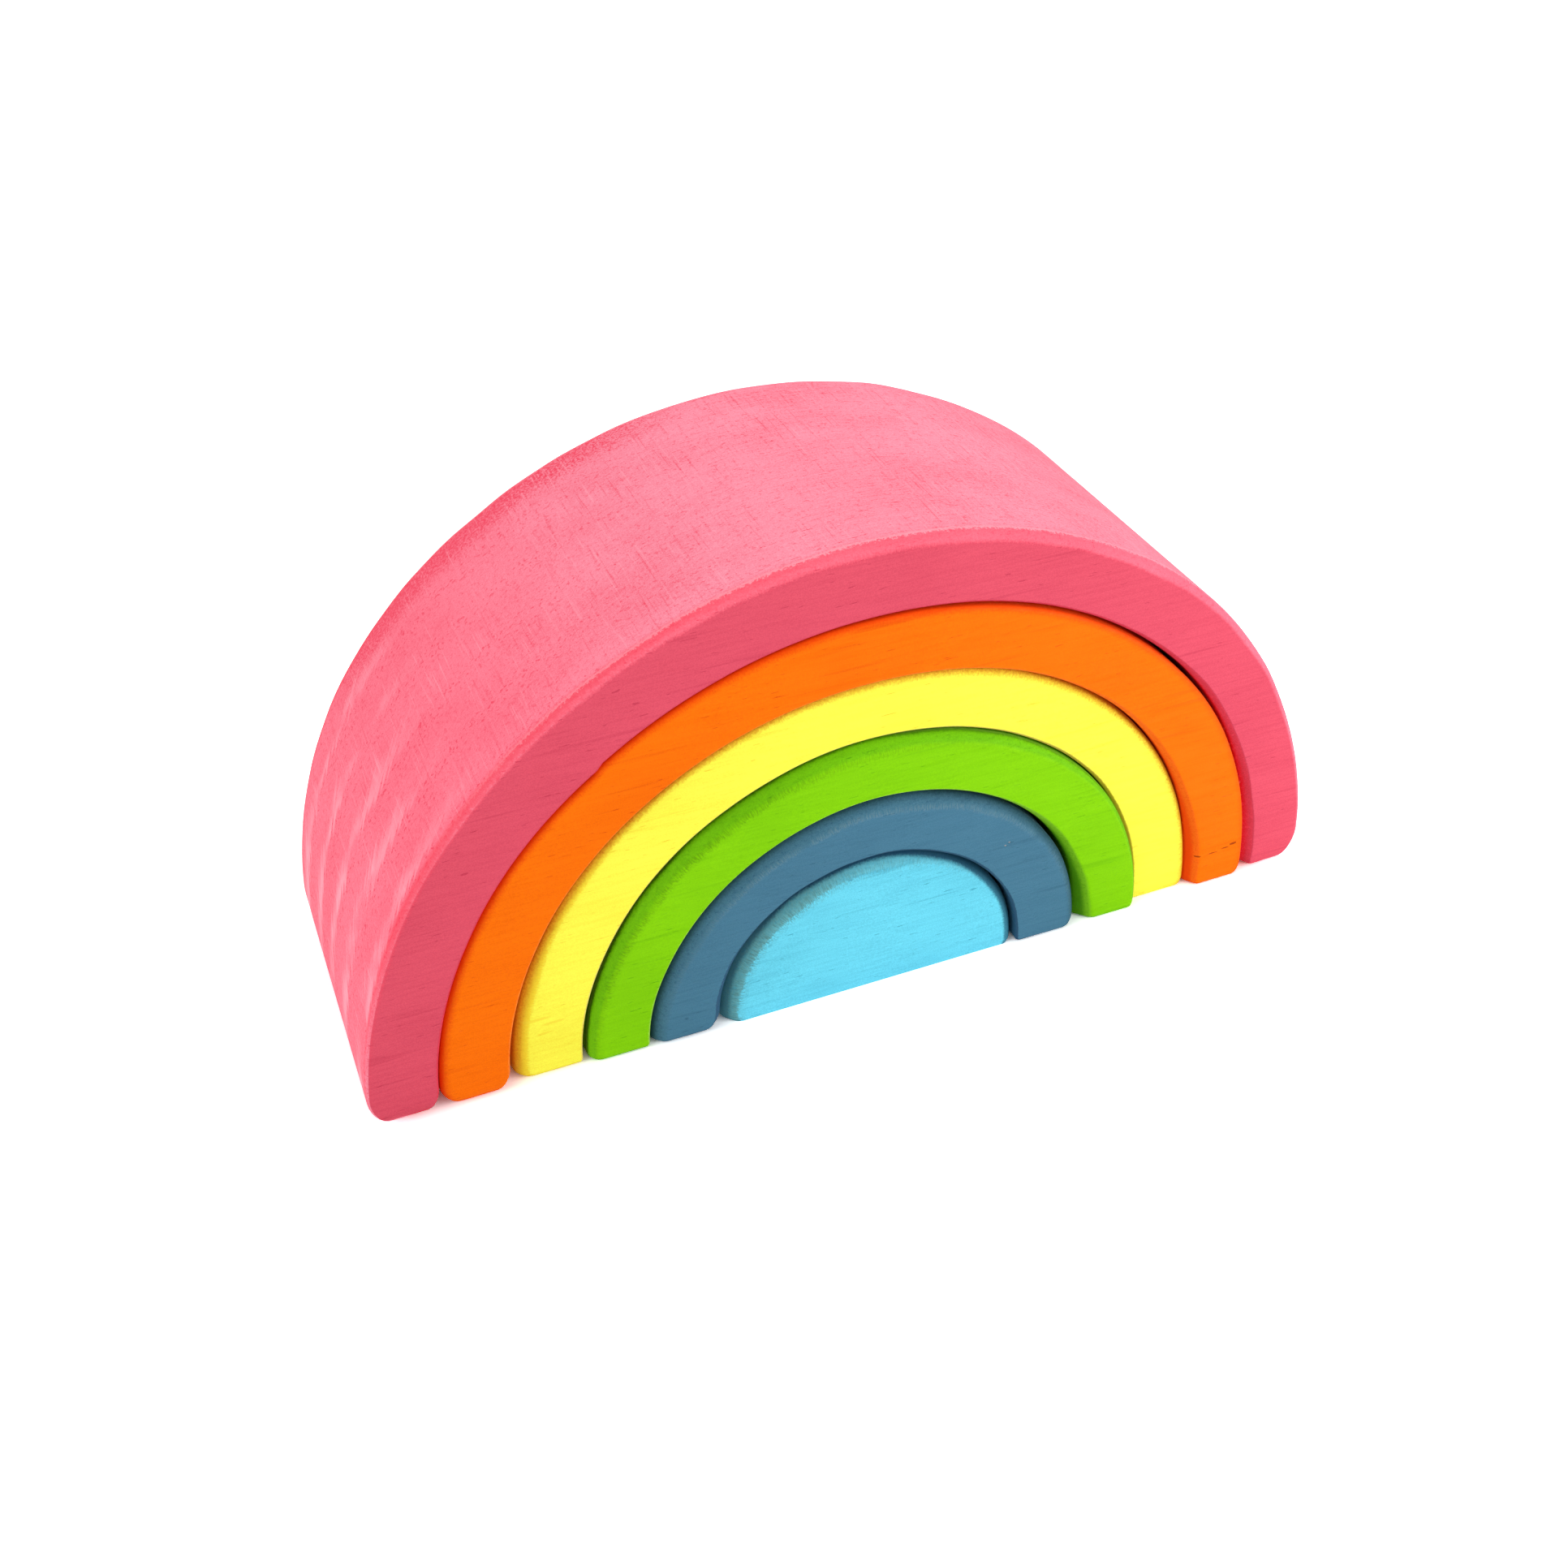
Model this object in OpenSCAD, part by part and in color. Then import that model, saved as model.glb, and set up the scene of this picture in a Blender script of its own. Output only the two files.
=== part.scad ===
// Nesting rainbow: five wooden arches around a solid half-round, all loose and standing on their feet.
// The origin is on the floor under the middle of the nest. X runs along the width, Y to the back, Z up.

/* [Half-round] */
// Radius of the solid half-round in the middle
half_round_r = 27; // [16:0.1:40]
// Width of the flat sanded along its two curved edges
half_round_bevel = 2.2; // [0.5:0.1:4]
// Width of the flat sanded on its two bottom corners
half_round_corner = 1.6; // [0.5:0.1:4]

/* [Arches] */
// Thickness of the slate arch
slate_wall = 11; // [8:0.1:20]
// Thickness of the green arch
green_wall = 10.9; // [8:0.1:20]
// Thickness of the yellow arch
yellow_wall = 10.8; // [8:0.1:20]
// Thickness of the orange arch
orange_wall = 11.4; // [8:0.1:20]
// Thickness of the pink arch
pink_wall = 11.4; // [8:0.1:20]
// Gap that the saw leaves between one piece and the next
nest_gap = 0.5; // [0.4:0.1:3]

/* [Board] */
// Thickness of the board that all the pieces are sawn from, front to back
board_depth = 57; // [24:1:120]

/* [Sanded edges] */
// Width of the flat sanded along the outer curved edges of an arch
outer_bevel = 2.2; // [0.5:0.1:4]
// Width of the flat sanded along the inner curved edges of an arch
inner_bevel = 1.5; // [0.5:0.1:3]
// Rounding of the outer corner of a foot
foot_outer_r = 3.4; // [0.8:0.1:4]
// Rounding of the inner corner of a foot
foot_inner_r = 2; // [0.8:0.1:3]
// Rounding under the front and back of a foot
foot_sole_r = 1.2; // [0.6:0.1:4]

/* [Standing place] */
// How far the yellow arch stands back from the pink one
yellow_setback = 1.1; // [-3:0.1:3]
// How far the slate arch stands back from the pink one
slate_setback = -1.1; // [-3:0.1:3]
// Place of the orange arch in its gap: -1 touches the pink one on the left, 1 on the right
orange_aside = -0.6; // [-0.8:0.05:0.8]
// Place of the yellow arch in its gap, counted the same way inside the orange one
yellow_aside = 0.6; // [-0.8:0.05:0.8]
// Place of the green arch in its gap, inside the yellow one
green_aside = 0.6; // [-0.8:0.05:0.8]
// Place of the slate arch in its gap, inside the green one
slate_aside = -0.6; // [-0.8:0.05:0.8]
// Place of the half-round in its gap, inside the slate arch
half_round_aside = 0; // [-0.8:0.05:0.8]

/* [Hidden] */
$fn = 96;

// Inner radii, from the half-round outwards
slate_inner_r = half_round_r + nest_gap;
green_inner_r = slate_inner_r + slate_wall + nest_gap;
yellow_inner_r = green_inner_r + green_wall + nest_gap;
orange_inner_r = yellow_inner_r + yellow_wall + nest_gap;
pink_inner_r = orange_inner_r + orange_wall + nest_gap;
pink_outer_r = pink_inner_r + pink_wall;

// Places along X, from the pink arch inwards
orange_x = orange_aside * nest_gap;
yellow_x = orange_x + yellow_aside * nest_gap;
green_x = yellow_x + green_aside * nest_gap;
slate_x = green_x + slate_aside * nest_gap;
half_round_x = slate_x + half_round_aside * nest_gap;

// Reach of the shapes that trim the pieces, well past the largest one
reach = pink_outer_r + board_depth;
// Small run-out that lets a rounded corner meet its wall at an angle
run_out = 0.05;

// Cross-section of an arch: a rectangle with a flat on each corner, radius along X and depth along Y
module arch_section(inner_r, outer_r) {
    half = board_depth / 2;
    face_near = inner_r + inner_bevel;
    face_far = outer_r - outer_bevel;
    outer_side = half - outer_bevel;
    inner_side = half - inner_bevel;
    polygon([
        [face_near, -half], [face_far, -half], [outer_r, -outer_side], [outer_r, outer_side],
        [face_far, half], [face_near, half], [inner_r, inner_side], [inner_r, -inner_side]
    ]);
}

// Front view that keeps the right half of an arch and rounds the two corners of its foot
module foot_trim(inner_r, outer_r) {
    toe = outer_r - foot_outer_r;
    heel = sqrt(inner_r * inner_r - foot_inner_r * foot_inner_r) - run_out + foot_inner_r;
    translate([heel, 0]) square([toe - heel, foot_inner_r + foot_outer_r]);
    translate([0, foot_inner_r]) square([toe, reach]);
    translate([toe, foot_outer_r]) square([reach, reach]);
    translate([heel, foot_inner_r]) circle(foot_inner_r);
    translate([toe, foot_outer_r]) circle(foot_outer_r);
}

// Side view that rounds the sole under the front and back of a foot
module sole_trim() {
    edge = board_depth / 2 - foot_sole_r + run_out;
    translate([-edge, 0]) square([2 * edge, reach]);
    translate([-reach, foot_sole_r]) square([2 * reach, reach]);
    for (side = [-1, 1]) translate([side * edge, foot_sole_r]) circle(foot_sole_r);
}

// One arch: a ring of that section, cut off at the floor and rounded at its feet
module arch(inner_r, wall, x = 0, setback = 0) {
    outer_r = inner_r + wall;
    translate([x, setback, 0]) intersection() {
        rotate([90, 0, 0]) rotate_extrude() arch_section(inner_r, outer_r);
        rotate([90, 0, 0]) linear_extrude(2 * reach, center = true) {
            foot_trim(inner_r, outer_r);
            mirror([1, 0]) foot_trim(inner_r, outer_r);
        }
        rotate([90, 0, 90]) linear_extrude(2 * reach, center = true) sole_trim();
    }
}

// Half of the half-round's section: radius along X, depth along Y, with a flat on each outer corner
module half_round_section() {
    half = board_depth / 2;
    face_r = half_round_r - half_round_bevel;
    side = half - half_round_bevel;
    outer_corners = [[face_r, -half], [half_round_r, -side], [half_round_r, side], [face_r, half]];
    polygon([[0, -half], each outer_corners, [0, half]]);
}

module pink_arch() {
    color("#e8607a") arch(pink_inner_r, pink_wall);
}

module orange_arch() {
    color("#fb7410") arch(orange_inner_r, orange_wall, orange_x);
}

module yellow_arch() {
    color("#fbf650") arch(yellow_inner_r, yellow_wall, yellow_x, yellow_setback);
}

module green_arch() {
    color("#85d012") arch(green_inner_r, green_wall, green_x);
}

module slate_arch() {
    color("#4c7a92") arch(slate_inner_r, slate_wall, slate_x, slate_setback);
}

module half_round() {
    sole = half_round_r - half_round_corner;
    color("#6ad4ec") translate([half_round_x, 0, 0]) intersection() {
        rotate([90, 0, 0]) rotate_extrude() half_round_section();
        rotate([90, 0, 0]) linear_extrude(2 * reach, center = true)
            polygon([[-sole, 0], [sole, 0], [sole + reach, reach], [-sole - reach, reach]]);
    }
}

pink_arch();
orange_arch();
yellow_arch();
green_arch();
slate_arch();
half_round();
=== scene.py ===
import bpy
import bmesh
import math
from mathutils import Matrix, Vector, noise


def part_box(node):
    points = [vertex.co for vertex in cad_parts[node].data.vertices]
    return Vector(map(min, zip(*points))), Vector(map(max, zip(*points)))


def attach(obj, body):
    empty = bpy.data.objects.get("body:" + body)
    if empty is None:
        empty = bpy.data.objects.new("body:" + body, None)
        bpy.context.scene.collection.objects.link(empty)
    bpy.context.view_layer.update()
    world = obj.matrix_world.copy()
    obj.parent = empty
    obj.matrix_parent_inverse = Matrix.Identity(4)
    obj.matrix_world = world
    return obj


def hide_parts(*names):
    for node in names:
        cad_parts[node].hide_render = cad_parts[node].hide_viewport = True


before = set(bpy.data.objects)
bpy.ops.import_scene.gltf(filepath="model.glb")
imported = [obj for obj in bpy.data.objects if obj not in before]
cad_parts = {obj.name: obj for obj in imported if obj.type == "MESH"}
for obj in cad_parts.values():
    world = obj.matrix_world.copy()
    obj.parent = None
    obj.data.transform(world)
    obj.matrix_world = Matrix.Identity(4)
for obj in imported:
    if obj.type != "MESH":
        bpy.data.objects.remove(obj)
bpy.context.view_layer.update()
scene = bpy.context.scene
scene.view_settings.view_transform = "Standard"
mm = 0.001  # metres
print("frame loaded:", len(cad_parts), "pieces")

# camera
cameraSetup = {
    "imageWidth": 1932,  # px, the picture is square
    "focal": 2129.4,  # px
    "sensor": 36.0,  # mm
    "azimuth": -21.703,  # degrees, minus is round to the left
    "elevation": 37.883,
    "roll": -1.043,
    "distance": 297.43,  # mm from the point it looks at
    "nearest": 0.01,  # m
    "target": (-4.067, 0.0, 23.671),
}


def placeCamera(setup):
    azimuth, elevation, roll = (math.radians(setup[k]) for k in ("azimuth", "elevation", "roll"))
    level = math.cos(elevation)
    back = Vector((math.sin(azimuth) * level, -math.cos(azimuth) * level, math.sin(elevation)))
    right = Vector((math.cos(azimuth), math.sin(azimuth), 0))
    up = back.cross(right)
    rolledRight = right * math.cos(roll) + up * math.sin(roll)
    rolledUp = up * math.cos(roll) - right * math.sin(roll)
    eye = (Vector(setup["target"]) + back * setup["distance"]) * mm
    cameraData = bpy.data.cameras.new("camera")
    cameraData.sensor_width = setup["sensor"]
    cameraData.lens = setup["focal"] / setup["imageWidth"] * setup["sensor"]
    cameraData.clip_start = setup["nearest"]
    camera = bpy.data.objects.new("camera", cameraData)
    scene.collection.objects.link(camera)
    turn = Matrix((rolledRight, rolledUp, back)).transposed().to_4x4()
    camera.matrix_world = Matrix.Translation(eye) @ turn
    scene.camera = camera


placeCamera(cameraSetup)
print("camera placed")


# node helpers
class Bench:
    def __init__(self, tree):
        self.tree = tree
        tree.nodes.clear()

    def add(self, kind, inputs=None, **settings):
        made = self.tree.nodes.new(kind)
        for key, value in settings.items():
            setattr(made, key, value)
        for socket, value in (inputs or {}).items():
            if isinstance(value, bpy.types.NodeSocket):
                self.tree.links.new(value, made.inputs[socket])
            else:
                made.inputs[socket].default_value = value
        return made

    def calc(self, operation, a, b=0.0, c=0.0):
        return self.add("ShaderNodeMath", {0: a, 1: b, 2: c}, operation=operation).outputs[0]

    def times(self, *values):
        total = values[0]
        for value in values[1:]:
            total = self.calc("MULTIPLY", total, value)
        return total

    def sum(self, *values):
        total = values[0]
        for value in values[1:]:
            total = self.calc("ADD", total, value)
        return total

    def step(self, value, low, high, start=0.0, end=1.0):
        sockets = {"Value": value, "From Min": low, "From Max": high, "To Min": start, "To Max": end}
        return self.add("ShaderNodeMapRange", sockets, interpolation_type="SMOOTHSTEP").outputs[0]

    def vector(self, x, y, z=0.0):
        return self.add("ShaderNodeCombineXYZ", {0: x, 1: y, 2: z}).outputs[0]

    def mapped(self, vector, scale, shift=(0, 0, 0)):
        sockets = {"Vector": vector, "Scale": scale, "Location": shift}
        return self.add("ShaderNodeMapping", sockets).outputs[0]

    def noise(self, vector, scale, detail, roughness):
        sockets = {"Vector": self.mapped(vector, scale), "Scale": 1.0, "Detail": detail}
        return self.add("ShaderNodeTexNoise", {**sockets, "Roughness": roughness}).outputs["Fac"]

    def mix(self, factor, a, b):
        return self.add("ShaderNodeMix", {0: factor, 6: a, 7: b}, data_type="RGBA").outputs[2]

    def split(self, vector):
        return self.add("ShaderNodeSeparateXYZ", {0: vector}).outputs

    def reading(self, name):
        return self.add("ShaderNodeAttribute", attribute_name=name).outputs["Fac"]


def newMaterial(name):
    material = bpy.data.materials.new(name)
    material.use_nodes = True
    return material, Bench(material.node_tree)


def srgb(red, green, blue):  # colour as seen on a screen, 0 to 255
    shares = [c / 255 for c in (red, green, blue)]
    return (*[c / 12.92 if c <= 0.04 else ((c + 0.055) / 1.055) ** 2.4 for c in shares], 1.0)


# pieces, sizes in mm; a list of seven runs from the left foot over the crown to the right foot
pinkArch = {
    "node": "pink_arch",
    "slot": "pink_stain",
    "inside": "orange_arch",  # what stands in its opening
    "sawNo": 0,  # the cut along its outer wall
    "askew": (0.0, 0.0),  # how far its left and right foot stand back from their places
    "outerFlat": (0.45, 0.7, 1.2, 1.5, 1.5, 1.1, 0.8),  # width of the sanded flat
    "backFlat": (2.6, 1.4, 1.8, 2.0, 2.2, 2.2, 2.0),  # the same on the back edge
    "roundness": 0.2,  # 0 is a plain flat, 1 a full quarter round
    "innerFlat": (0.3, 0.3, 0.3, 0.3, 0.4, 1.0, 1.8),
    "leftToe": (6.4, 7.5, 2),  # a foot's outer corner: across, up, and form (1 straight, 2 round)
    "leftHeel": (4.6, 5.5, 2),  # the same on its inner corner
    "rightToe": (5.2, 6.4, 1.8),
    "rightHeel": (2.2, 2.2, 1.6),
    "leftSole": (3.3, 3.5),  # rounding under the front and back of a foot
    "rightSole": (1.8, 2.0),
    "look": {
        "face": srgb(224, 84, 105),  # front and back
        "deep": srgb(190, 56, 80),  # pores and veins there
        "side": srgb(249, 155, 175),  # outer wall at the crown, paler than the face: paler stain and painted sheen of the light from above
        "end": srgb(252, 127, 147),  # outer wall at the legs, where end grain shows
        "sideDeep": srgb(238, 74, 98),  # pores on the walls
        "pale": srgb(255, 178, 192),  # rubbed edges, bleached layers and painted highlights on thin edges
        "bore": srgb(222, 12, 36),  # inner wall
        "streaks": 0.68,  # share of the bleached layers on the legs
        # worn spots, from where to where in mm to the back and along the arch
        "weathered": {"depth": (19, 24), "from": (40, 60), "to": (95, 135)},
        "flat": {"colour": srgb(252, 110, 130), "rag": 0.6, "share": (0, 0.5, 0.8, 0.9, 0.9, 0.9, 0.8)},
        "rim": {
            "colour": srgb(242, 56, 78), "from": 0.0, "fade": 1.3, "rag": 0.7,
            "share": (0, 0.6, 0.65, 0.3, 0.2, 0, 0),
        },
        # pale line where the flat meets the outer wall: wear and a painted highlight of the edge
        "wear": {"reach": 0.8, "share": (0, 0, 0.4, 0.5, 0.4, 0.2, 0.1)},
        "ticks": {"colour": srgb(226, 60, 84), "reach": 0.6, "share": (0, 0, 0.3, 0.4, 0.3, 0, 0)},
        # darker inner flat: stain and painted shade of the groove
        "inner": {"colour": srgb(190, 40, 64), "share": (0.95,) * 7},
    },
}
orangeArch = {
    "node": "orange_arch",
    "slot": "orange_stain",
    "inside": "yellow_arch",
    "sawNo": 1,
    "askew": (0.5, -0.3),
    "outerFlat": (1.3, 1.2, 1.1, 1.0, 0.8, 0.5, 0.5),
    "backFlat": (2.2,) * 7,
    "roundness": 0.8,
    "innerFlat": (0.3, 0.3, 0.3, 0.3, 0.3, 1.0, 2.2),
    "leftToe": (4.6, 4.8, 2),
    "leftHeel": (4.6, 4.6, 2),
    "rightToe": (2.0, 2.8),
    "rightHeel": (1.2, 1.5),
    "leftSole": (2.0, 2.1),
    "rightSole": (0.7, 0.8),
    "scars": (  # place on the front face, half length and half width, torn edge
        {"at": (63.6, 6.9), "size": (0.6, 0.2), "rag": 1.2},
        {"at": (66.5, 7.0), "size": (1.1, 0.15), "rag": 1.6},
        {"at": (69.0, 7.4), "size": (0.9, 0.18), "rag": 1.2},
        {"at": (70.6, 7.9), "size": (0.8, 0.3), "rag": 1.6},
    ),
    "look": {
        "face": srgb(254, 118, 0),
        "deep": srgb(216, 78, 0),
        "side": srgb(250, 98, 4),
        "end": srgb(250, 92, 4),
        "sideDeep": srgb(228, 76, 0),
        "pale": srgb(255, 160, 70),
        "bore": srgb(240, 72, 0),
        "streaks": 0.15,
        "scar": srgb(140, 52, 0),
        "flat": {"colour": srgb(252, 108, 4), "rag": 0.5, "share": (0.6,) * 7},
        # the rim by the gap to the pink: stain, painted shade of the gap and a painted red reflection of
        # the pink
        "rim": {
            "colour": srgb(238, 48, 0), "from": 0.0, "fade": 1.5, "rag": 0.6,
            "share": (0.8, 0.85, 0.75, 0.6, 0.5, 0.3, 0.2),
        },
        # a thin dark line in the gap: painted shadow of the gap, partly stain that ran together there
        "gapLine": {"colour": srgb(140, 4, 10), "from": 0.1, "to": 0.5, "share": 0.85},
        "wear": {"reach": 0.6, "share": (0.2,) * 7},
        "ticks": {"colour": srgb(222, 70, 0), "reach": 0.7, "share": (0.3, 0.4, 0.4, 0.4, 0.3, 0.2, 0.2)},
        "inner": {"colour": srgb(252, 110, 8), "share": (0.4, 0.4, 0.4, 0.4, 0.7, 0.9, 0.9)},
    },
}
yellowArch = {
    "node": "yellow_arch",
    "slot": "yellow_stain",
    "inside": "green_arch",
    "sawNo": 2,
    "askew": (0.5, 0.0),
    "outerFlat": (2.2, 1.7, 1.2, 1.2, 1.3, 0.7, 0.5),
    "backFlat": (2.2,) * 7,
    "roundness": 0.6,
    "innerFlat": (0.3, 0.3, 0.3, 0.3, 0.4, 0.5, 0.7),
    "leftToe": (2.0, 2.2),
    "leftHeel": (0.9, 1.1),
    "rightToe": (1.5, 2.2),
    "rightHeel": (0.8, 1.0),
    "leftSole": (1.2, 1.3),
    "rightSole": (0.6, 0.7),
    "scars": (
        {"at": (-57.0, 12.6), "size": (2.6, 0.35), "rag": 1.0},
        {"at": (-54.4, 11.2), "size": (2.2, 0.3), "rag": 1.0},
        {"at": (-56.0, 9.4), "size": (1.4, 0.25), "rag": 1.0},
    ),
    "look": {
        "face": srgb(255, 254, 82),
        "deep": srgb(234, 206, 40),
        "side": srgb(252, 240, 80),
        "end": srgb(248, 232, 70),
        "sideDeep": srgb(226, 190, 30),
        "pale": srgb(255, 252, 160),
        "bore": srgb(236, 200, 20),
        "scar": srgb(246, 226, 62),
        "streaks": 0.15,
        "flat": {"colour": srgb(252, 212, 30), "rag": 0.8, "share": (0.6, 0.6, 0.4, 0.3, 0.5, 0.5, 0.4)},
        # the rim by the gap to the orange: brown stain and painted shade of the gap
        "rim": {
            "colour": srgb(196, 104, 0), "from": 0.0, "fade": 1.6, "rag": 1.0,
            "share": (0.6, 0.8, 0.85, 0.8, 0.9, 0.7, 0.4),
        },
        # a thin painted shadow line in the gap, partly stain
        "gapLine": {"colour": srgb(150, 64, 0), "from": 0.35, "to": 0.8, "share": 0.55},
        "wear": {"reach": 0.6, "share": (0.2,) * 7},
        "ticks": {"colour": srgb(206, 160, 20), "reach": 0.7, "share": (0.2, 0.2, 0.2, 0.4, 0.4, 0.2, 0)},
        "inner": {"colour": srgb(204, 158, 20), "share": (0.3, 0.3, 0.3, 0.3, 0.5, 0.9, 0.9)},
    },
}
greenArch = {
    "node": "green_arch",
    "slot": "green_stain",
    "inside": "slate_arch",
    "sawNo": 3,
    "askew": (0.8, -0.7),
    "outerFlat": (1.6, 2.0, 2.3, 2.1, 1.7, 0.9, 0.5),
    "backFlat": (2.2,) * 7,
    "roundness": 0.5,
    "innerFlat": (0.35, 0.3, 0.3, 0.3, 0.3, 1.2, 2.6),
    "leftToe": (1.2, 1.6),
    "leftHeel": (0.8, 1.0),
    "rightToe": (0.9, 1.6),
    "rightHeel": (1.0, 1.0),
    "leftSole": (1.0, 1.1),
    "rightSole": (0.6, 0.7),
    "look": {
        "face": srgb(136, 211, 4),
        "deep": srgb(98, 172, 2),
        "side": srgb(120, 200, 12),
        "end": srgb(112, 190, 10),
        "sideDeep": srgb(84, 156, 4),
        "pale": srgb(186, 236, 96),
        "bore": srgb(70, 140, 4),
        "streaks": 0.15,
        "flat": {"colour": srgb(108, 180, 4), "rag": 0.7, "share": (0.1, 0.3, 0.4, 0, 0, 0.1, 0.1)},
        # the near-black rim by the gap: painted shade of the gap and stain
        "rim": {
            "colour": srgb(18, 48, 2), "from": 0.0, "fade": 0.5, "rag": 0.25,
            "share": (0.9, 0.9, 0.85, 0.6, 0.5, 0.4, 0.3),
        },
        "wear": {"reach": 0.6, "share": (0.2,) * 7},
        "ticks": {"colour": srgb(72, 120, 8), "reach": 1.2, "share": (0.2, 0.55, 0.6, 0.3, 0.1, 0.1, 0)},
        # green's inner share of 0 on the left paints a pale line there, a painted highlight of the thin
        # edge
        "inner": {"colour": srgb(126, 200, 8), "share": (0, 0, 0, 0, 0.5, 0.9, 0.9)},
    },
}
slateArch = {
    "node": "slate_arch",
    "slot": "slate_stain",
    "inside": "half_round",
    "sawNo": 4,
    "askew": (1.2, 0.0),
    "outerFlat": (2.2, 2.5, 2.6, 2.4, 2.0, 1.4, 1.0),
    "backFlat": (2.2,) * 7,
    "roundness": 0.4,
    "innerFlat": (1.0, 1.1, 1.0, 0.8, 0.5, 0.3, 0.3),
    "leftToe": (1.4, 1.6),
    "leftHeel": (3.6, 3.8),
    "rightToe": (2.2, 2.8),
    "rightHeel": (1.2, 1.5),
    "leftSole": (1.6, 1.7),
    "rightSole": (1.2, 1.3),
    "scars": (
        {"at": (23.2, 23.4), "size": (0.2, 0.16), "rag": 0.6},
        {"at": (23.9, 23.9), "size": (0.2, 0.15), "rag": 0.6},
    ),
    "look": {
        "face": srgb(73, 122, 148),
        "deep": srgb(54, 96, 120),
        "side": srgb(74, 122, 146),
        "end": srgb(70, 116, 140),
        "sideDeep": srgb(48, 88, 112),
        "pale": srgb(130, 168, 184),
        "bore": srgb(44, 86, 114),
        "streaks": 0.15,
        "scar": srgb(146, 146, 140),
        "flat": {"colour": srgb(66, 106, 118), "rag": 0.8, "share": (0.2, 0.3, 0.4, 0.3, 0.3, 0.3, 0.3)},
        # the near-black rim by the gap: painted shade of the gap and stain
        "rim": {
            "colour": srgb(18, 46, 46), "from": 0.0, "fade": 1.8, "rag": 0.5,
            "share": (0.7, 0.7, 0.75, 0.8, 0.8, 0.7, 0.6),
        },
        "wear": {"reach": 0.6, "share": (0.2,) * 7},
        "ticks": {"colour": srgb(138, 158, 154), "reach": 0.7, "share": (0, 0.1, 0.25, 0.3, 0.25, 0.1, 0)},
        # slate's inner flat is dark navy as painted shade, since the flat faces down at the crown
        "inner": {"colour": srgb(20, 58, 92), "share": (0.9,) * 7},
    },
}
halfRound = {
    "node": "half_round",
    "slot": "light_blue_stain",
    "inside": None,
    "sawNo": 5,
    "askew": (0.5, 0.0),
    "outerFlat": (2.4, 2.8, 3.0, 2.6, 1.9, 1.1, 0.8),
    "backFlat": (2.2,) * 7,
    "roundness": 0.35,
    "innerFlat": (0.0,) * 7,
    "leftToe": (0.6, 0.9, 1),
    "leftHeel": (0.0, 1.0),
    "rightToe": (0.5, 0.8, 1),
    "rightHeel": (0.0, 1.0),
    "leftSole": (0.0, 1.0),
    "rightSole": (0.0, 1.0),
    "look": {
        "face": srgb(114, 222, 246),
        "deep": srgb(66, 156, 184),
        "side": srgb(104, 206, 230),
        "end": srgb(100, 200, 224),
        "sideDeep": srgb(72, 160, 184),
        "pale": srgb(160, 232, 244),
        "bore": srgb(104, 206, 230),
        "streaks": 0.15,
        "flat": {"colour": srgb(106, 166, 168), "rag": 0.8, "share": (0.9, 0.95, 0.9, 0.5, 0.3, 0.2, 0.1)},
        # the navy rim under the slate arch: painted shade of the gap and stain
        "rim": {
            "colour": srgb(14, 54, 86), "from": 1.1, "fade": 1.8, "rag": 0.3,
            "share": (0.4, 0.6, 0.9, 0.95, 0.9, 0.8, 0.7),
        },
        "wear": {"reach": 0.6, "share": (0.2,) * 7},
        "ticks": {"colour": srgb(78, 116, 112), "reach": 2.0, "share": (0.6, 0.7, 0.6, 0.4, 0.2, 0.1, 0)},
        "inner": {"colour": srgb(104, 206, 230), "share": (0,) * 7},
    },
}

# how every piece is cut and sanded
workshop = {
    "gap": 0.5,  # mm, between one piece and the next
    "flat": 2.0,  # mm, width of the flats on the section that is swung round
    "softness": 0.45,  # mm, rounding on both sides of a flat
    "flatCuts": 2,  # rows across a flat
    "rows": 150,  # rows from foot to foot
    "footRows": 14,
    "wallCuts": 7,  # rows across the depth
    "faceCuts": 2,  # rows across a face
    "longEdge": 3.0,  # mm along X, only the edges of a face are longer
    "cornerSlack": 0.1,  # mm, so that no vertex of a flat is missed
    "footMargin": 1.1,  # close rows reach this much higher than the roundings
    "merge": 0.0005,  # mm
    "sharp": 0.75,  # radians, edges that turn more stay crisp
    "cutLines": (  # mm, how far each cut strays from its circle, from the outermost inwards
        (0, 0, 0, 0, -0.5, -0.7, 0),
        (0.3, 0, -0.4, -0.5, -0.1, -0.1, 0),
        (0.5, 0.3, 0.2, -0.15, 0.5, 0.4, 0.4),
        (0, -0.4, -0.2, 0.1, 0.1, 0.5, 0.3),
        (0.6, 0.2, 0.35, 0.7, 0.6, 0.2, -0.3),
        (-0.4, 0.3, 0.5, 0.6, 0.3, 0, -0.6),
    ),
    "slip": {"cut": 1, "angle": 53.3, "depth": 0.4, "fade": 10.0},  # where the saw jumped, degrees and mm
    "sawWander": 0.12,  # mm
    "sawWave": 22.0,  # mm
    "sawSeed": (7.3, 0.5),  # one for each cut, one for all
    "handWander": 0.16,  # share of a flat's width
    "handWave": 9.0,  # mm
    "handSeed": 3.7,
    "sideSeed": 5.0,
    "innerSeed": 0.5,
}


def readBlank(piece):
    low, high = (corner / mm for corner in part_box(piece["node"]))
    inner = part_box(piece["inside"])[1].z / mm + workshop["gap"] if piece["inside"] else 0.0
    return {
        "centre": Vector(((low.x + high.x) / 2, (low.y + high.y) / 2, 0)),
        "outer": high.z,
        "inner": inner,
        "wall": high.z - inner,
        "halfDepth": (high.y - low.y) / 2,
    }


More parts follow.
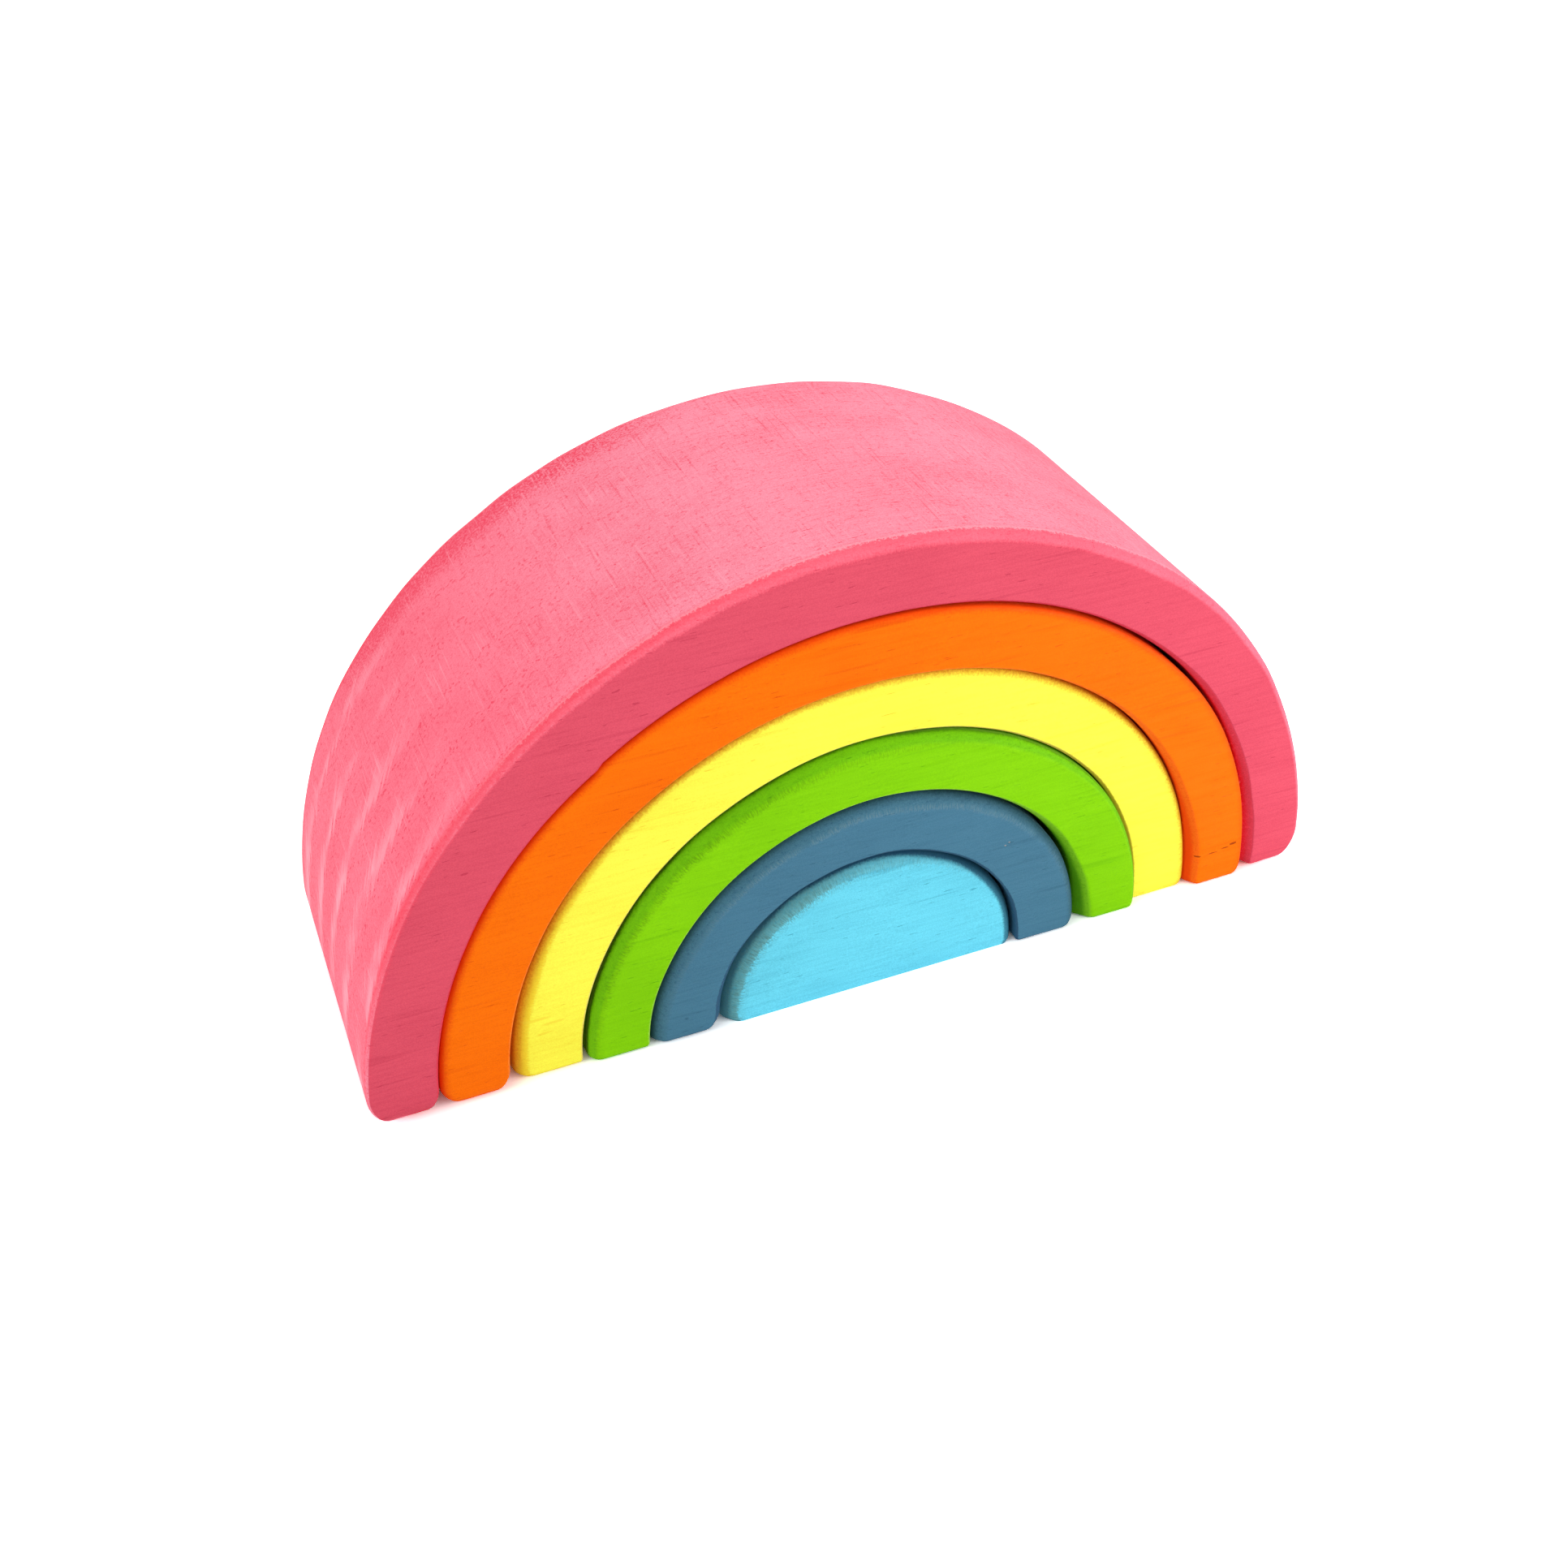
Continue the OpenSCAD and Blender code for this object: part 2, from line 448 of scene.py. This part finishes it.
def along(values, share):  # smooth line through evenly spaced values
    place = share * (len(values) - 1)
    first = min(int(place), len(values) - 2)
    part = place - first
    part = part * part * (3 - 2 * part)
    return values[first] + (values[first + 1] - values[first]) * part


def cornerPull(height, across, up, form=2):  # how far a rounded corner draws in at this height
    if height >= up:
        return 0.0
    rise = 1 - height / up
    return across * (1 - (1 - rise**form) ** (1 / form))


def rowAngles(piece, blank):
    corners = [piece[k][1] for k in ("leftToe", "leftHeel", "rightToe", "rightHeel")]
    footTurn = max(corners) / (blank["inner"] or blank["outer"]) * workshop["footMargin"]
    rows, footRows = workshop["rows"], workshop["footRows"]
    foot = [footTurn * (1 - math.cos(math.pi / 2 * i / footRows)) for i in range(1, footRows + 1)]
    middle = [footTurn + (math.pi - 2 * footTurn) * i / rows for i in range(1, rows)]
    return foot + middle + [math.pi - angle for angle in reversed(foot)] + [math.pi]


def swingSection(piece, blank):
    bm = bmesh.new()
    near, far, half = blank["inner"], blank["outer"], blank["halfDepth"]
    outline = ((-far, -half), (-near, -half), (-near, half), (-far, half))
    corners = [bm.verts.new((x, y, 0)) for x, y in outline]
    bm.faces.new(corners)
    sanded = corners if near else [corners[0], corners[3]]
    common = {"affect": "VERTICES", "offset_type": "OFFSET", "profile": 0.5, "material": -1}
    flats = bmesh.ops.bevel(bm, geom=sanded, offset=workshop["flat"], segments=1, **common)
    bmesh.ops.bevel(bm, geom=flats["verts"], offset=workshop["softness"], segments=2, **common)
    walls = [e for e in bm.edges if abs(e.verts[0].co.y - e.verts[1].co.y) > half]
    faces = [e for e in bm.edges if abs(e.verts[0].co.x - e.verts[1].co.x) > workshop["longEdge"]]
    slopes = [e for e in bm.edges if e not in walls + faces and e.calc_length() > workshop["flat"] / 2]
    bmesh.ops.subdivide_edges(bm, edges=slopes, cuts=workshop["flatCuts"])
    bmesh.ops.subdivide_edges(bm, edges=walls, cuts=workshop["wallCuts"])
    bmesh.ops.subdivide_edges(bm, edges=faces, cuts=workshop["faceCuts"])
    geom = bm.verts[:] + bm.edges[:] + bm.faces[:]
    turned = 0.0
    for angle in rowAngles(piece, blank):
        turn = {"cent": (0, 0, 0), "axis": (0, 1, 0), "angle": angle - turned, "steps": 1}
        spun = bmesh.ops.spin(bm, geom=geom, **turn)
        geom = spun["geom_last"]
        turned = angle
    bmesh.ops.remove_doubles(bm, verts=bm.verts[:], dist=workshop["merge"])
    bmesh.ops.recalc_face_normals(bm, faces=bm.faces[:])
    return bm


def handFlat(values, angle, radius, side, seed):  # width of a hand-sanded flat at this place
    seeds = side * workshop["sideSeed"], seed * workshop["handSeed"]
    wave = noise.noise(Vector((angle * radius / workshop["handWave"], *seeds)))
    return along(values, angle / math.pi) * (1 + workshop["handWander"] * wave)


def sawSlip(number, angle):  # the step where the saw jumped
    slip = workshop["slip"]
    before = slip["angle"] - math.degrees(angle)
    if number != slip["cut"] or before <= 0:
        return 0.0
    return slip["depth"] * math.exp(-before / slip["fade"])


def sawLine(number, angle, radius):  # how far the saw strayed on this cut
    perCut, shared = workshop["sawSeed"]
    place = Vector((angle * radius / workshop["sawWave"], number * perCut, shared))
    wander = workshop["sawWander"] * noise.noise(place)
    return along(workshop["cutLines"][number], angle / math.pi) + wander - sawSlip(number, angle)


def roundBulge(toOuter, toFace, width):  # how far a quarter round stands out from the flat, each way
    aside = min(1.0, abs(toOuter - toFace) / width)
    return width / 2 * (math.sqrt(2 - aside * aside) - 1)


# mm across and along a piece, and how strongly its edges took the stain, painted shade and painted
# highlight
edgeStainsAndShade = ("flat", "rim", "wear", "ticks", "inner")
measures = ("fromRim", "fromRidge", "fromInnerRidge", "wallShare", "alongArch", *edgeStainsAndShade)


def shapeVertex(place, piece, blank):
    cut = piece["sawNo"]
    angle = math.atan2(max(place.z, 0), -place.x)
    radius = math.hypot(place.x, place.z)
    side = math.copysign(1, place.y)
    toOuter = blank["outer"] - radius
    toInner = radius - blank["inner"]
    toFace = blank["halfDepth"] - abs(place.y)
    cornerReach = workshop["flat"] + workshop["softness"] + workshop["cornerSlack"]
    outerValues = piece["outerFlat" if side < 0 else "backFlat"]
    outerFlat = handFlat(outerValues, angle, blank["outer"], side, cut)
    innerFlat = handFlat(piece["innerFlat"], angle, blank["outer"], side, cut + workshop["innerSeed"])
    bulge = 0.0
    if toFace < cornerReach and toOuter < cornerReach:
        toOuter *= outerFlat / workshop["flat"]
        toFace *= outerFlat / workshop["flat"]
        toInner = blank["wall"] - toOuter
        bulge = piece["roundness"] * roundBulge(toOuter, toFace, outerFlat)
    elif blank["inner"] and toFace < cornerReach and toInner < cornerReach:
        toInner *= innerFlat / workshop["flat"]
        toFace *= innerFlat / workshop["flat"]
        toOuter = blank["wall"] - toInner
    share = toInner / blank["wall"]  # 0 on the inner wall, 1 on the outer
    radius = blank["outer"] - toOuter + bulge + share * sawLine(cut, angle, blank["outer"])
    if blank["inner"]:
        radius += (1 - share) * sawLine(cut + 1, angle, blank["inner"])
    x, z = -radius * math.cos(angle), radius * math.sin(angle)
    foot = "left" if x < 0 else "right"
    pull = share * cornerPull(z, *piece[foot + "Toe"]) - (1 - share) * cornerPull(z, *piece[foot + "Heel"])
    x -= pull * math.copysign(1, x)
    facePull = cornerPull(z, *piece[foot + "Sole"]) / blank["halfDepth"]
    y = side * (blank["halfDepth"] - toFace + bulge) * (1 - facePull)
    leftBack, rightBack = piece["askew"]
    y += rightBack + (leftBack - rightBack) * (1 - x / blank["outer"]) / 2
    outerDepth = toFace if share > 0.5 else 0.0
    marks = {
        "fromRim": toOuter - max(0.0, outerDepth - outerFlat),  # minus on the wall
        "fromRidge": max(0.0, toOuter - outerFlat) - outerDepth,  # minus on the flat
        "fromInnerRidge": max(0.0, toInner - innerFlat) - toFace,
        "wallShare": share,
        "alongArch": angle * blank["outer"],
    }
    for name in edgeStainsAndShade:
        marks[name] = along(piece["look"][name]["share"], angle / math.pi)
    return Vector((x, y, z)), marks


def makePiece(piece):
    blank = readBlank(piece)
    bm = swingSection(piece, blank)
    layers = {k: bm.verts.layers.float.new(k) for k in measures}
    for v in bm.verts:
        placed, marks = shapeVertex(v.co, piece, blank)
        v.co = (placed + blank["centre"]) * mm
        for key, value in marks.items():
            v[layers[key]] = value
    for face in bm.faces:
        face.smooth = True
    for edge in bm.edges:
        edge.smooth = edge.calc_face_angle(math.pi) < workshop["sharp"]
    openEdges = sum(len(e.link_faces) != 2 for e in bm.edges)
    mesh = bpy.data.meshes.new(piece["node"])
    bm.to_mesh(mesh)
    bm.free()
    made = bpy.data.objects.new(piece["node"] + "_wood", mesh)
    scene.collection.objects.link(made)
    made.modifiers.new("weightedNormal", "WEIGHTED_NORMAL").keep_sharp = True
    mesh.materials.append(stainedWood(piece, blank))
    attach(made, piece["node"])
    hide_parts(piece["node"])
    print(made.name, len(mesh.polygons), "faces,", openEdges, "open edges")


# the board; noise scales are per mm, along X, Y and Z or along the arch and the depth
timber = {
    "seed": (41.0, 17.0, 29.0),  # mm, moves the patterns on from piece to piece
    "facing": {  # limits of the parts of a piece, by how far they turn
        "face": (0.8, 0.95),
        "wall": (0.3, 0.6),
        "outer": (0.4, 0.6),  # share of the wall instead
        "end": (0.25, 0.75),
        "leg": (0.65, 0.98),
    },
    "grain": {  # runs along X
        "grit": {"scale": (4.5, 5.5, 5.5), "detail": 1},
        "fibre": {"scale": (0.12, 2.2, 2.2), "detail": 3, "roughness": 0.6},
        "pore": {"scale": (0.4, 3.2, 3.2), "detail": 1, "limits": (0.705, 0.77)},
        "vein": {"scale": (0.035, 0.5, 0.9), "detail": 2, "limits": (0.62, 0.72)},
        "speck": {"scale": (1.5, 1.8, 1.8), "detail": 1, "limits": (0.57, 0.7)},
        "dots": {"scale": (2.6, 3.0, 3.0), "detail": 1, "limits": (0.42, 0.66)},
        "cloud": {"scale": (0.05, 0.08, 0.08), "detail": 3, "limits": (0.35, 0.75)},
    },
    "layers": {  # growth layers lie one behind the other along Y
        "first": 8.0,  # mm
        "depth": 11.0,  # mm
        "slow": {"scale": (0.02, 0.03, 0.0), "detail": 1},
        "sway": 6.0,  # mm
        "teeth": {"scale": (0.5, 1.0, 1.0), "detail": 1},
        "toothLength": 8.0,  # mm
        "toothSlant": 1.4,
        "patch": {"scale": (0.06, 0.12, 0.0), "detail": 2, "limits": (0.38, 0.6)},
        "paleFrom": (0.0, 0.1),  # share of a layer
        "paleTo": (0.1, 0.5),
        "darkFrom": (0.5, 1.0),
    },
    "sander": {  # belt marks run front to back on the curved walls
        "lines": {"scale": (2.6, 0.09, 0.0), "detail": 2},
        "dark": (0.58, 0.72),
        "bright": (0.42, 0.28),
        "patch": {"scale": (0.06, 0.05, 0.0), "detail": 2, "limits": (0.25, 0.65)},
    },
    "torn": {  # ragged limits of the sanded flats, and short ticks across their ridge
        "rag": {"scale": (2.6, 2.6, 2.6), "detail": 3, "roughness": 0.7},
        "groups": {"scale": (0.16, 0.0, 1.0), "detail": 2, "limits": (0.3, 0.5)},
        "hatch": {"scale": (4.2, 1.1, 1.0), "detail": 3, "roughness": 0.7, "limits": (0.42, 0.62)},
    },
}


def pattern(bench, place, setup):  # a noise, cut to spots where it has limits
    value = bench.noise(place, setup["scale"], setup["detail"], setup.get("roughness", 0.5))
    return bench.step(value, *setup["limits"]) if "limits" in setup else value


def growthLayers(bench, marks, skin):  # each layer starts sharp and pale and ends soft and dark
    setup, depth = timber["layers"], marks["depth"]
    sway = bench.times(pattern(bench, skin, setup["slow"]), setup["sway"])
    skew = bench.calc("SUBTRACT", marks["alongArch"], bench.times(depth, setup["toothSlant"]))
    teeth = pattern(bench, bench.vector(skew, 0.0), setup["teeth"])
    bent = bench.sum(depth, sway, bench.times(teeth, setup["toothLength"]), setup["first"])
    layer = bench.calc("FRACT", bench.calc("DIVIDE", bent, setup["depth"]))
    marks["early"] = bench.times(
        bench.step(layer, *setup["paleFrom"]),
        bench.step(layer, *setup["paleTo"], 1.0, 0.0),
        pattern(bench, skin, setup["patch"]),
    )
    marks["late"] = bench.step(layer, *setup["darkFrom"])


def sanderLines(bench, marks, skin):
    setup = timber["sander"]
    lines = pattern(bench, skin, setup["lines"])
    patch = bench.times(pattern(bench, skin, setup["patch"]), marks["onWall"])
    marks["scratch"] = bench.times(bench.step(lines, *setup["dark"]), patch)
    marks["polish"] = bench.times(bench.step(lines, *setup["bright"]), patch)


def tornFibres(bench, marks, solid, number):
    setup = timber["torn"]
    marks["rag"] = bench.calc("SUBTRACT", pattern(bench, solid, setup["rag"]), 0.5)  # -0.5 to 0.5
    place = bench.vector(marks["alongArch"], marks["fromRidge"], number)
    marks["tick"] = bench.times(*[pattern(bench, place, setup[k]) for k in ("hatch", "groups")])


def woodMarks(bench, piece, blank):
    coords = bench.add("ShaderNodeTexCoord").outputs
    ownPlace = bench.mapped(coords["Object"], (1 / mm,) * 3, -blank["centre"])
    seed = Vector(timber["seed"]) * (piece["sawNo"] + 1)
    solid = bench.mapped(ownPlace, (1, 1, 1), seed)
    depth = bench.split(ownPlace)["Y"]
    normal = [bench.calc("ABSOLUTE", n) for n in bench.split(coords["Normal"])]
    facing = timber["facing"]
    marks = {name: bench.reading(name) for name in measures}
    skin = bench.mapped(bench.vector(marks["alongArch"], depth, marks["wallShare"]), (1, 1, 1), seed)
    marks["depth"] = depth
    marks["place"] = ownPlace
    marks["onFace"] = bench.step(normal[1], *facing["face"])
    marks["onWall"] = bench.step(normal[1], *facing["wall"], 1.0, 0.0)
    marks["onOuter"] = bench.step(marks["wallShare"], *facing["outer"])
    marks["onEnd"] = bench.times(bench.step(normal[0], *facing["end"]), marks["onWall"])
    marks["onLeg"] = bench.times(bench.step(normal[0], *facing["leg"]), marks["onWall"])
    for name, setup in timber["grain"].items():
        marks[name] = pattern(bench, solid, setup)
    growthLayers(bench, marks, skin)
    sanderLines(bench, marks, skin)
    tornFibres(bench, marks, solid, piece["sawNo"])
    return marks


# how the stain took, and where painted shade and highlight fall; limits in mm from an edge, minus is past
# it
stain = {
    "ridge": (-0.2, 0.3),  # where a flat meets the face
    "wallEdge": (-0.4, 0.3),  # where it meets the wall
    "innerRidge": (-0.1, 0.15),
    "innerRag": 0.3,  # mm
    "innerShare": 0.85,
    "innerHalf": (0.4, 0.5),  # share of the wall
    "boreward": (-1.2, -0.5),  # where the inner flat takes the colour of the bore
    "soft": {"fibre": (0.35, 0.75), "grit": (0.3, 0.7)},  # limits of marks that have none
    "deepShares": {  # of the deep colour, on walls and on faces
        "fibre": (0.16, 0.16),
        "grit": (0.32, 0.24),
        "pore": (0.6, 0.6),
        "vein": (0.12, 0.25),
        "cloud": (0.2, 0.15),
        "scratch": (0.34, 0.34),
    },
    "specks": 0.26,
    "lateSpecks": 0.5,  # more of them at the dark end of a layer
    "wornRag": 5.0,  # mm
    "wornShare": 0.2,
    "wornDots": 0.8,
    "polish": 0.3,
    "rimFade": (-1.2, -0.1),
    "rubbedAndHighlitEnd": (-0.1, 0.2),
    "gapFade": (-0.7, 0.0),
    "scarEdge": (0.6, 1.1),  # share of a scar's size
    "scarShare": 0.85,
    "scarDepth": (1.0, 2.0),  # mm behind the front face
}
# the dry surface
finish = {
    "relief": {"fibre": 1.0, "grit": 0.15, "pore": -0.8, "scratch": -0.4},
    "bump": {"Strength": 0.3, "Distance": 0.12 * mm},
    "fibreLimits": (0.3, 0.7),
    "roughness": (0.55, 0.72),
    "specular": 0.06,
}


def ragged(bench, marks, name, amount):  # a distance that strays by up to this many mm
    return bench.calc("MULTIPLY_ADD", marks["rag"], 2 * amount, marks[name])


def stainAndShadeCoat(bench, marks, look):  # the even coat on faces, walls and sanded flats; the inner flats also get painted shade and a painted highlight
    flat, rim = look["flat"], look["rim"]
    outerWall = bench.mix(marks["onEnd"], look["side"], look["end"])
    wall = bench.mix(marks["onOuter"], look["bore"], outerWall)
    colour = bench.mix(marks["onFace"], wall, look["face"])
    onFlat = bench.times(
        bench.step(ragged(bench, marks, "fromRidge", flat["rag"]), *stain["ridge"], 1.0, 0.0),
        bench.step(ragged(bench, marks, "fromRim", rim["rag"]), *stain["wallEdge"]),
        marks["flat"],
    )
    colour = bench.mix(onFlat, colour, flat["colour"])
    fromInner = ragged(bench, marks, "fromInnerRidge", stain["innerRag"])
    # inner flat: a low share paints it pale, a painted highlight of the thin inner edge; a high share
    # paints it darker, stain and painted shade of the groove
    innerColour = bench.mix(marks["inner"], look["pale"], look["inner"]["colour"])
    boreward = bench.step(fromInner, *stain["boreward"], 1.0, 0.0)
    innerColour = bench.mix(boreward, innerColour, look["bore"])
    onInner = bench.times(
        bench.step(fromInner, *stain["innerRidge"], stain["innerShare"], 0.0),
        bench.step(marks["wallShare"], *stain["innerHalf"], 1.0, 0.0),
        bench.calc("SUBTRACT", 1.0, marks["onWall"]),
    )
    return bench.mix(onInner, colour, innerColour)


def wornPatch(bench, marks, place):  # weathered spots on the outer wall
    worn = bench.times(
        bench.step(ragged(bench, marks, "depth", stain["wornRag"]), *place["depth"]),
        bench.step(marks["alongArch"], *place["from"]),
        bench.step(marks["alongArch"], *place["to"], 1.0, 0.0),
        marks["onWall"],
    )
    spots = bench.calc("MULTIPLY_ADD", marks["dots"], stain["wornDots"], stain["wornShare"])
    return bench.times(worn, spots)


def stainGrain(bench, marks, look, colour):
    onFace = marks["onFace"]
    grain = []
    for name, shares in stain["deepShares"].items():
        soft = stain["soft"].get(name)
        mark = bench.step(marks[name], *soft) if soft else marks[name]
        grain.append(bench.times(mark, bench.step(onFace, 0, 1, *shares)))
    lateEnd = bench.times(marks["late"], marks["onEnd"])
    speckled = bench.calc("MULTIPLY_ADD", lateEnd, stain["lateSpecks"], stain["specks"])
    grain.append(bench.times(marks["speck"], bench.step(onFace, 0, 1, 1, 0), speckled))
    if "weathered" in look:
        grain.append(wornPatch(bench, marks, look["weathered"]))
    deep = bench.mix(onFace, look["sideDeep"], look["deep"])
    colour = bench.mix(bench.calc("MINIMUM", bench.sum(*grain), 1.0), colour, deep)
    bleached = bench.sum(
        bench.times(marks["early"], marks["onLeg"], look["streaks"]),
        bench.times(marks["polish"], stain["polish"]),
    )
    return bench.mix(bench.calc("MINIMUM", bleached, 1.0), colour, look["pale"])


def stainAndShadeRims(bench, marks, look, colour):  # rims by the gaps, darker partly from stain and partly as painted shade of the gap, with a painted red reflection on orange; torn fibres; edges rubbed pale, partly a painted highlight; and a painted shadow line in the gap
    rim, wear, ticks = (look[k] for k in ("rim", "wear", "ticks"))
    # rim by the gap: stain, and on the inner pieces painted shade of the gap
    raggedRim = ragged(bench, marks, "fromRim", rim["rag"])
    onRimStainAndShade = bench.step(raggedRim, rim["from"], rim["fade"], 1.0, 0.0)
    onRimStainAndShade = bench.times(onRimStainAndShade, bench.step(marks["fromRim"], *stain["rimFade"]), marks["rim"])
    colour = bench.mix(onRimStainAndShade, colour, rim["colour"])
    nearRidge = bench.step(bench.calc("ABSOLUTE", marks["fromRidge"]), 0.0, ticks["reach"], 1.0, 0.0)
    colour = bench.mix(bench.times(nearRidge, marks["tick"], marks["ticks"]), colour, ticks["colour"])
    # pale line on the wall by the flat: wear and a painted highlight of the edge
    rubbedAndHighlit = bench.step(raggedRim, -wear["reach"], stain["rubbedAndHighlitEnd"][0])
    rubbedAndHighlit = bench.times(rubbedAndHighlit, bench.step(raggedRim, *stain["rubbedAndHighlitEnd"], 1.0, 0.0), marks["wear"])
    colour = bench.mix(rubbedAndHighlit, colour, look["pale"])
    # a thin dark line on the wall inside the gap: painted shadow of the gap, partly stain
    if "gapLine" in look:
        line = look["gapLine"]
        gapShadow = bench.step(marks["fromRim"], line["from"], line["to"], line["share"], 0.0)
        gapShadow = bench.times(gapShadow, bench.step(marks["fromRim"], *stain["gapFade"]), marks["rim"])
        colour = bench.mix(gapShadow, colour, line["colour"])
    return colour


def stainScars(bench, marks, piece, blank, colour):  # torn spots on the front face
    limits = [deep - blank["halfDepth"] for deep in stain["scarDepth"]]
    inFront = bench.step(marks["depth"], *limits, 1.0, 0.0)
    for scar in piece.get("scars", ()):
        (x, z), (long, wide) = scar["at"], scar["size"]
        local = bench.mapped(marks["place"], (1 / long, 0, 1 / wide), (-x / long, 0, -z / wide))
        away = bench.add("ShaderNodeVectorMath", {0: local}, operation="LENGTH").outputs["Value"]
        torn = bench.calc("MULTIPLY_ADD", marks["rag"], scar["rag"], away)
        onScar = bench.times(bench.step(torn, *stain["scarEdge"], stain["scarShare"], 0.0), inFront)
        colour = bench.mix(onScar, colour, piece["look"]["scar"])
    return colour


def stainedWood(piece, blank):
    look = piece["look"]
    material, bench = newMaterial(piece["node"] + "_stain")
    marks = woodMarks(bench, piece, blank)
    colour = stainAndShadeCoat(bench, marks, look)
    colour = stainGrain(bench, marks, look, colour)
    colour = stainAndShadeRims(bench, marks, look, colour)
    colour = stainScars(bench, marks, piece, blank, colour)
    relief = bench.sum(*[bench.times(marks[k], height) for k, height in finish["relief"].items()])
    bump = bench.add("ShaderNodeBump", {"Height": relief, **finish["bump"]})
    sockets = {
        "Base Color": colour,
        "Roughness": bench.step(marks["fibre"], *finish["fibreLimits"], *finish["roughness"]),
        "Specular IOR Level": finish["specular"],
        "Normal": bump.outputs[0],
    }
    shader = bench.add("ShaderNodeBsdfPrincipled", sockets)
    bench.add("ShaderNodeOutputMaterial", {"Surface": shader.outputs[0]})
    return material


for piece in (pinkArch, orangeArch, yellowArch, greenArch, slateArch, halfRound):
    makePiece(piece)
print("pieces sawn, sanded and stained")

# floor and light
studio = {
    "floorSize": 4.0,  # m
    "floorBounce": 0.8,
    "floorSeen": 0.84,
    "dome": 0.67,
    "backdrop": 1.0,
    "lamps": {
        "softboxRight": {"place": (0.30, -0.24, 0.12), "size": 0.2, "power": 0.82},  # m, W
        "softboxLeft": {"place": (-0.55, -0.18, 0.35), "size": 0.4, "power": 1.45},
        "softboxBack": {"place": (0.28, 0.15, 0.50), "size": 0.3, "power": 0.9},
    },
    "lampAim": (0.0, 0.0, 0.03),
}


def seenDirectly(bench):  # 1 for what the lens, a gloss or a glass sees
    rays = bench.add("ShaderNodeLightPath").outputs
    seen = bench.calc("MAXIMUM", rays["Is Camera Ray"], rays["Is Glossy Ray"])
    return bench.calc("MAXIMUM", seen, rays["Is Transmission Ray"])


def layFloor(setup):
    bm = bmesh.new()
    bmesh.ops.create_grid(bm, x_segments=2, y_segments=2, size=setup["floorSize"] / 2)
    mesh = bpy.data.meshes.new("floor")
    bm.to_mesh(mesh)
    bm.free()
    floor = bpy.data.objects.new("floor", mesh)
    scene.collection.objects.link(floor)
    material, bench = newMaterial("floor_paper")
    bounce = bench.add("ShaderNodeBsdfDiffuse", {"Color": (setup["floorBounce"],) * 3 + (1,)})
    seenPaper = bench.add("ShaderNodeBsdfDiffuse", {"Color": (setup["floorSeen"],) * 3 + (1,)})
    bright = bench.add("ShaderNodeAddShader", {0: seenPaper.outputs[0], 1: seenPaper.outputs[0]})
    sockets = {0: seenDirectly(bench), 1: bounce.outputs[0], 2: bright.outputs[0]}
    paper = bench.add("ShaderNodeMixShader", sockets)
    bench.add("ShaderNodeOutputMaterial", {"Surface": paper.outputs[0]})
    mesh.materials.append(material)


def lightStudio(setup):
    scene.world = bpy.data.worlds.new("studio")
    scene.world.use_nodes = True
    bench = Bench(scene.world.node_tree)
    white = (1, 1, 1, 1)
    dome = bench.add("ShaderNodeBackground", {"Color": white, "Strength": setup["dome"]})
    backdrop = bench.add("ShaderNodeBackground", {"Color": white, "Strength": setup["backdrop"]})
    sockets = {0: seenDirectly(bench), 1: dome.outputs[0], 2: backdrop.outputs[0]}
    sky = bench.add("ShaderNodeMixShader", sockets)
    bench.add("ShaderNodeOutputWorld", {"Surface": sky.outputs[0]})
    for name, lamp in setup["lamps"].items():
        lampData = bpy.data.lights.new(name, "AREA")
        lampData.size = lamp["size"]
        lampData.energy = lamp["power"]
        made = bpy.data.objects.new(name, lampData)
        scene.collection.objects.link(made)
        made.location = lamp["place"]
        aim = Vector(setup["lampAim"]) - made.location
        made.rotation_euler = aim.to_track_quat("-Z", "Y").to_euler()


layFloor(studio)
lightStudio(studio)
print("floor laid, light set")
